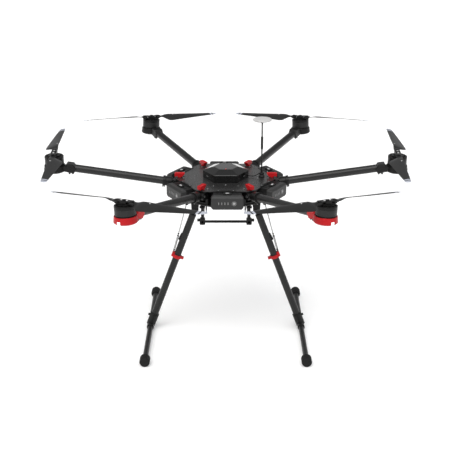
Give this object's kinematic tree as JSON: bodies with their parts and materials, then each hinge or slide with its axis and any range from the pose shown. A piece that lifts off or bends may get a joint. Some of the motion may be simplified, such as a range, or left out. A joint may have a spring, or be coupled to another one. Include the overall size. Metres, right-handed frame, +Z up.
{
  "type": "hexacopter drone",
  "caption": "Folding six-rotor camera drone with folding blades, retracting landing gear, slide-in batteries, payload rails and a folding satellite mast.",
  "frame": {"origin": "on the ground, below the vertical axis of the hub, with the aircraft standing on its feet", "axes": "+Z up, -Y to the front of the aircraft, +X to the right of a viewer who faces its front"},
  "size_m": [1.2122, 1.2369, 0.759],
  "materials": {
    "carbon_plate": "satin carbon weave",
    "frame_alloy": "black anodised",
    "circuit": "matt",
    "cover_gloss": "high gloss",
    "fastener_steel": "plain steel",
    "rail_black": "black anodised",
    "mast_black": "satin",
    "cable_black": "matt",
    "gear_black": "black anodised",
    "antenna_white": "satin white",
    "arm_carbon": "satin carbon twill",
    "base_red": "red anodised",
    "base_black": "black anodised",
    "motor_alloy": "black anodised",
    "blade_composite": "satin moulding",
    "lock_red": "moulded red",
    "battery_shell": "satin grey",
    "leg_carbon": "satin carbon twill",
    "skid_carbon": "satin carbon, rubber feet",
    "spring_steel": "bright steel"
  },
  "bodies": {
    "root": {"upper_plate": "carbon_plate", "lower_plate": "carbon_plate", "hub_frame": "frame_alloy", "electronics": "circuit", "top_cover": "cover_gloss", "fasteners": "fastener_steel", "payload_rails": "rail_black", "gps_mount": "mast_black", "gps_cable": "cable_black", "gear_mounts": "gear_black"},
    "arm_right": {"arm_right": "arm_carbon", "motor_base_right": "base_black"},
    "rotor_right": {"rotor_right": "motor_alloy"},
    "blade_right_a": {"blade_right_a": "blade_composite"},
    "blade_right_b": {"blade_right_b": "blade_composite"},
    "lock_knob_right": {"lock_knob_right": "lock_red"},
    "arm_rear_right": {"arm_rear_right": "arm_carbon", "motor_base_rear_right": "base_black"},
    "rotor_rear_right": {"rotor_rear_right": "motor_alloy"},
    "blade_rear_right_a": {"blade_rear_right_a": "blade_composite"},
    "blade_rear_right_b": {"blade_rear_right_b": "blade_composite"},
    "lock_knob_rear_right": {"lock_knob_rear_right": "lock_red"},
    "arm_rear_left": {"arm_rear_left": "arm_carbon", "motor_base_rear_left": "base_black"},
    "rotor_rear_left": {"rotor_rear_left": "motor_alloy"},
    "blade_rear_left_a": {"blade_rear_left_a": "blade_composite"},
    "blade_rear_left_b": {"blade_rear_left_b": "blade_composite"},
    "lock_knob_rear_left": {"lock_knob_rear_left": "lock_red"},
    "arm_left": {"arm_left": "arm_carbon", "motor_base_left": "base_black"},
    "rotor_left": {"rotor_left": "motor_alloy"},
    "blade_left_a": {"blade_left_a": "blade_composite"},
    "blade_left_b": {"blade_left_b": "blade_composite"},
    "lock_knob_left": {"lock_knob_left": "lock_red"},
    "arm_front_left": {"arm_front_left": "arm_carbon", "motor_base_front_left": "base_red"},
    "rotor_front_left": {"rotor_front_left": "motor_alloy"},
    "blade_front_left_a": {"blade_front_left_a": "blade_composite"},
    "blade_front_left_b": {"blade_front_left_b": "blade_composite"},
    "lock_knob_front_left": {"lock_knob_front_left": "lock_red"},
    "arm_front_right": {"arm_front_right": "arm_carbon", "motor_base_front_right": "base_red"},
    "rotor_front_right": {"rotor_front_right": "motor_alloy"},
    "blade_front_right_a": {"blade_front_right_a": "blade_composite"},
    "blade_front_right_b": {"blade_front_right_b": "blade_composite"},
    "lock_knob_front_right": {"lock_knob_front_right": "lock_red"},
    "battery_rear_right_bay": {"battery_rear_right_bay": "battery_shell"},
    "battery_rear_bay": {"battery_rear_bay": "battery_shell"},
    "battery_rear_left_bay": {"battery_rear_left_bay": "battery_shell"},
    "battery_front_left_bay": {"battery_front_left_bay": "battery_shell"},
    "battery_front_bay": {"battery_front_bay": "battery_shell"},
    "battery_front_right_bay": {"battery_front_right_bay": "battery_shell"},
    "leg_right": {"leg_right": "leg_carbon", "skid_right": "skid_carbon"},
    "spring_strut_right": {"spring_strut_right": "spring_steel"},
    "leg_left": {"leg_left": "leg_carbon", "skid_left": "skid_carbon"},
    "spring_strut_left": {"spring_strut_left": "spring_steel"},
    "gps_mast": {"gps_mast": "mast_black", "gps_antenna": "antenna_white"}
  },
  "joints": [
    {"name": "arm_fold_right", "type": "hinge", "parent": "root", "child": "arm_right", "pos_m": [0.165, 0, 0.5415], "axis": [0, -1, 0], "range_deg": [-80, 0]},
    {"name": "rotor_spin_right", "type": "hinge", "parent": "arm_right", "child": "rotor_right", "pos_m": [0.5665, 0, 0.603], "axis": [0, -0.0523, 0.9986], "continuous": true},
    {"name": "blade_fold_right_a", "type": "hinge", "parent": "rotor_right", "child": "blade_right_a", "pos_m": [0.56755, 0.02292, 0.643], "axis": [0, 0.0523, -0.9986], "range_deg": [-80, 0]},
    {"name": "blade_fold_right_b", "type": "hinge", "parent": "rotor_right", "child": "blade_right_b", "pos_m": [0.56545, -0.02697, 0.64039], "axis": [0, -0.0523, 0.9986], "range_deg": [-80, 0]},
    {"name": "lock_turn_right", "type": "hinge", "parent": "root", "child": "lock_knob_right", "pos_m": [0.153, 0, 0.56], "axis": [0, 0, 1], "range_deg": [0, 90]},
    {"name": "arm_fold_rear_right", "type": "hinge", "parent": "root", "child": "arm_rear_right", "pos_m": [0.0825, 0.14289, 0.5415], "axis": [0.866, -0.5, 0], "range_deg": [-80, 0]},
    {"name": "rotor_spin_rear_right", "type": "hinge", "parent": "arm_rear_right", "child": "rotor_rear_right", "pos_m": [0.28325, 0.4906, 0.603], "axis": [-0.0453, 0.0262, 0.9986], "continuous": true},
    {"name": "blade_fold_rear_right_a", "type": "hinge", "parent": "rotor_rear_right", "child": "blade_rear_right_a", "pos_m": [0.25887, 0.50217, 0.64039], "axis": [0.0453, -0.0262, -0.9986], "range_deg": [-80, 0]},
    {"name": "blade_fold_rear_right_b", "type": "hinge", "parent": "rotor_rear_right", "child": "blade_rear_right_b", "pos_m": [0.30412, 0.48107, 0.643], "axis": [-0.0453, 0.0262, 0.9986], "range_deg": [-80, 0]},
    {"name": "lock_turn_rear_right", "type": "hinge", "parent": "root", "child": "lock_knob_rear_right", "pos_m": [0.0765, 0.1325, 0.56], "axis": [0, 0, 1], "range_deg": [0, 90]},
    {"name": "arm_fold_rear_left", "type": "hinge", "parent": "root", "child": "arm_rear_left", "pos_m": [-0.0825, 0.14289, 0.5415], "axis": [0.866, 0.5, 0], "range_deg": [-80, 0]},
    {"name": "rotor_spin_rear_left", "type": "hinge", "parent": "arm_rear_left", "child": "rotor_rear_left", "pos_m": [-0.28325, 0.4906, 0.603], "axis": [0.0453, 0.0262, 0.9986], "continuous": true},
    {"name": "blade_fold_rear_left_a", "type": "hinge", "parent": "rotor_rear_left", "child": "blade_rear_left_a", "pos_m": [-0.25887, 0.50217, 0.64039], "axis": [0.0453, 0.0262, 0.9986], "range_deg": [-80, 0]},
    {"name": "blade_fold_rear_left_b", "type": "hinge", "parent": "rotor_rear_left", "child": "blade_rear_left_b", "pos_m": [-0.30412, 0.48107, 0.643], "axis": [-0.0453, -0.0262, -0.9986], "range_deg": [-80, 0]},
    {"name": "lock_turn_rear_left", "type": "hinge", "parent": "root", "child": "lock_knob_rear_left", "pos_m": [-0.0765, 0.1325, 0.56], "axis": [0, 0, 1], "range_deg": [0, 90]},
    {"name": "arm_fold_left", "type": "hinge", "parent": "root", "child": "arm_left", "pos_m": [-0.165, 0, 0.5415], "axis": [0, 1, 0], "range_deg": [-80, 0]},
    {"name": "rotor_spin_left", "type": "hinge", "parent": "arm_left", "child": "rotor_left", "pos_m": [-0.5665, 0, 0.603], "axis": [0, -0.0523, 0.9986], "continuous": true},
    {"name": "blade_fold_left_a", "type": "hinge", "parent": "rotor_left", "child": "blade_left_a", "pos_m": [-0.56755, 0.02292, 0.643], "axis": [0, -0.0523, 0.9986], "range_deg": [-80, 0]},
    {"name": "blade_fold_left_b", "type": "hinge", "parent": "rotor_left", "child": "blade_left_b", "pos_m": [-0.56545, -0.02697, 0.64039], "axis": [0, 0.0523, -0.9986], "range_deg": [-80, 0]},
    {"name": "lock_turn_left", "type": "hinge", "parent": "root", "child": "lock_knob_left", "pos_m": [-0.153, 0, 0.56], "axis": [0, 0, 1], "range_deg": [0, 90]},
    {"name": "arm_fold_front_left", "type": "hinge", "parent": "root", "child": "arm_front_left", "pos_m": [-0.0825, -0.14289, 0.5415], "axis": [-0.866, 0.5, 0], "range_deg": [-80, 0]},
    {"name": "rotor_spin_front_left", "type": "hinge", "parent": "arm_front_left", "child": "rotor_front_left", "pos_m": [-0.28325, -0.4906, 0.603], "axis": [-0.0453, 0.0262, 0.9986], "continuous": true},
    {"name": "blade_fold_front_left_a", "type": "hinge", "parent": "rotor_front_left", "child": "blade_front_left_a", "pos_m": [-0.26338, -0.50207, 0.64301], "axis": [0.0453, -0.0262, -0.9986], "range_deg": [-80, 0]},
    {"name": "blade_fold_front_left_b", "type": "hinge", "parent": "rotor_front_left", "child": "blade_front_left_b", "pos_m": [-0.30663, -0.47711, 0.64039], "axis": [-0.0453, 0.0262, 0.9986], "range_deg": [-80, 0]},
    {"name": "lock_turn_front_left", "type": "hinge", "parent": "root", "child": "lock_knob_front_left", "pos_m": [-0.0765, -0.1325, 0.56], "axis": [0, 0, 1], "range_deg": [0, 90]},
    {"name": "arm_fold_front_right", "type": "hinge", "parent": "root", "child": "arm_front_right", "pos_m": [0.0825, -0.14289, 0.5415], "axis": [-0.866, -0.5, 0], "range_deg": [-80, 0]},
    {"name": "rotor_spin_front_right", "type": "hinge", "parent": "arm_front_right", "child": "rotor_front_right", "pos_m": [0.28325, -0.4906, 0.603], "axis": [0.0453, 0.0262, 0.9986], "continuous": true},
    {"name": "blade_fold_front_right_a", "type": "hinge", "parent": "rotor_front_right", "child": "blade_front_right_a", "pos_m": [0.26338, -0.50207, 0.64301], "axis": [0.0453, 0.0262, 0.9986], "range_deg": [-80, 0]},
    {"name": "blade_fold_front_right_b", "type": "hinge", "parent": "rotor_front_right", "child": "blade_front_right_b", "pos_m": [0.30663, -0.47711, 0.64039], "axis": [-0.0453, -0.0262, -0.9986], "range_deg": [-80, 0]},
    {"name": "lock_turn_front_right", "type": "hinge", "parent": "root", "child": "lock_knob_front_right", "pos_m": [0.0765, -0.1325, 0.56], "axis": [0, 0, 1], "range_deg": [0, 90]},
    {"name": "battery_slide_rear_right_bay", "type": "slide", "parent": "root", "child": "battery_rear_right_bay", "axis": [0.866, 0.5, 0], "range_m": [0, 0.095]},
    {"name": "battery_slide_rear_bay", "type": "slide", "parent": "root", "child": "battery_rear_bay", "axis": [0, 1, 0], "range_m": [0, 0.095]},
    {"name": "battery_slide_rear_left_bay", "type": "slide", "parent": "root", "child": "battery_rear_left_bay", "axis": [-0.866, 0.5, 0], "range_m": [0, 0.095]},
    {"name": "battery_slide_front_left_bay", "type": "slide", "parent": "root", "child": "battery_front_left_bay", "axis": [-0.866, -0.5, 0], "range_m": [0, 0.095]},
    {"name": "battery_slide_front_bay", "type": "slide", "parent": "root", "child": "battery_front_bay", "axis": [0, -1, 0], "range_m": [0, 0.095]},
    {"name": "battery_slide_front_right_bay", "type": "slide", "parent": "root", "child": "battery_front_right_bay", "axis": [0.866, -0.5, 0], "range_m": [0, 0.095]},
    {"name": "leg_fold_right", "type": "hinge", "parent": "root", "child": "leg_right", "pos_m": [0.103, 0, 0.449], "axis": [0, -1, 0], "range_deg": [0, 62]},
    {"name": "strut_turn_right", "type": "hinge", "parent": "leg_right", "child": "spring_strut_right", "pos_m": [0.179, 0, 0.29], "axis": [0, -1, 0], "range_deg": [0, 5], "deforming": ["spring_strut_right"]},
    {"name": "leg_fold_left", "type": "hinge", "parent": "root", "child": "leg_left", "pos_m": [-0.103, 0, 0.449], "axis": [0, 1, 0], "range_deg": [0, 62]},
    {"name": "strut_turn_left", "type": "hinge", "parent": "leg_left", "child": "spring_strut_left", "pos_m": [-0.179, 0, 0.29], "axis": [0, 1, 0], "range_deg": [0, 5], "deforming": ["spring_strut_left"]},
    {"name": "mast_fold", "type": "hinge", "parent": "root", "child": "gps_mast", "pos_m": [0.119, 0, 0.571], "axis": [-1, 0, 0], "range_deg": [0, 75]}
  ],
  "couplings": [
    {"joint": "strut_turn_right", "follows": "leg_fold_right", "ratio": 0.03955},
    {"joint": "strut_turn_left", "follows": "leg_fold_left", "ratio": 0.03955}
  ]
}
